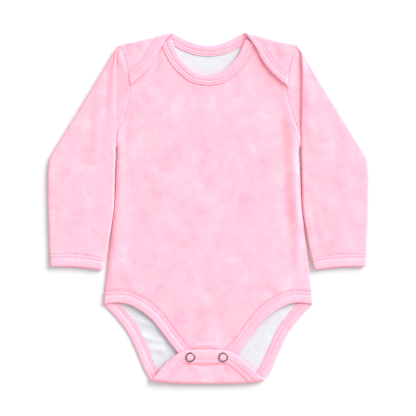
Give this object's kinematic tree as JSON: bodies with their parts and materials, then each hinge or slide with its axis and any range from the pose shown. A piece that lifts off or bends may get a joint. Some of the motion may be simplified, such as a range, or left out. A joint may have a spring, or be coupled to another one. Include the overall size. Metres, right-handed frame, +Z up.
{
  "type": "baby bodysuit",
  "caption": "Long-sleeved baby bodysuit laid flat, with lapped shoulder flaps, bound edges and a wrap-over crotch tab held by open-ring snaps",
  "frame": {"origin": "under the middle of the garment's outline, on the surface it lies on", "axes": "+Y to the neck, +X to the right as seen from above with the neck at the top, +Z up out of the front of the garment"},
  "size_m": [0.3526, 0.3857, 0.0088],
  "materials": {
    "pink_jersey": "soft mottled cotton jersey, pink outside and white inside",
    "pink_binding": "folded strip of the same jersey with two rows of stitching",
    "grey_nickel": "plain dark grey nickel"
  },
  "bodies": {
    "root": {"back_panel": "pink_jersey", "front_panel": "pink_jersey", "sleeve_left": "pink_jersey", "sleeve_right": "pink_jersey", "neck_binding_back": "pink_binding", "neck_binding_front": "pink_binding", "leg_binding_front": "pink_binding", "leg_binding_back": "pink_binding", "cuff_left": "pink_binding", "cuff_right": "pink_binding", "snap_ring_left": "grey_nickel", "snap_ring_right": "grey_nickel", "snap_stud_left": "grey_nickel", "snap_stud_right": "grey_nickel"}
  },
  "joints": []
}
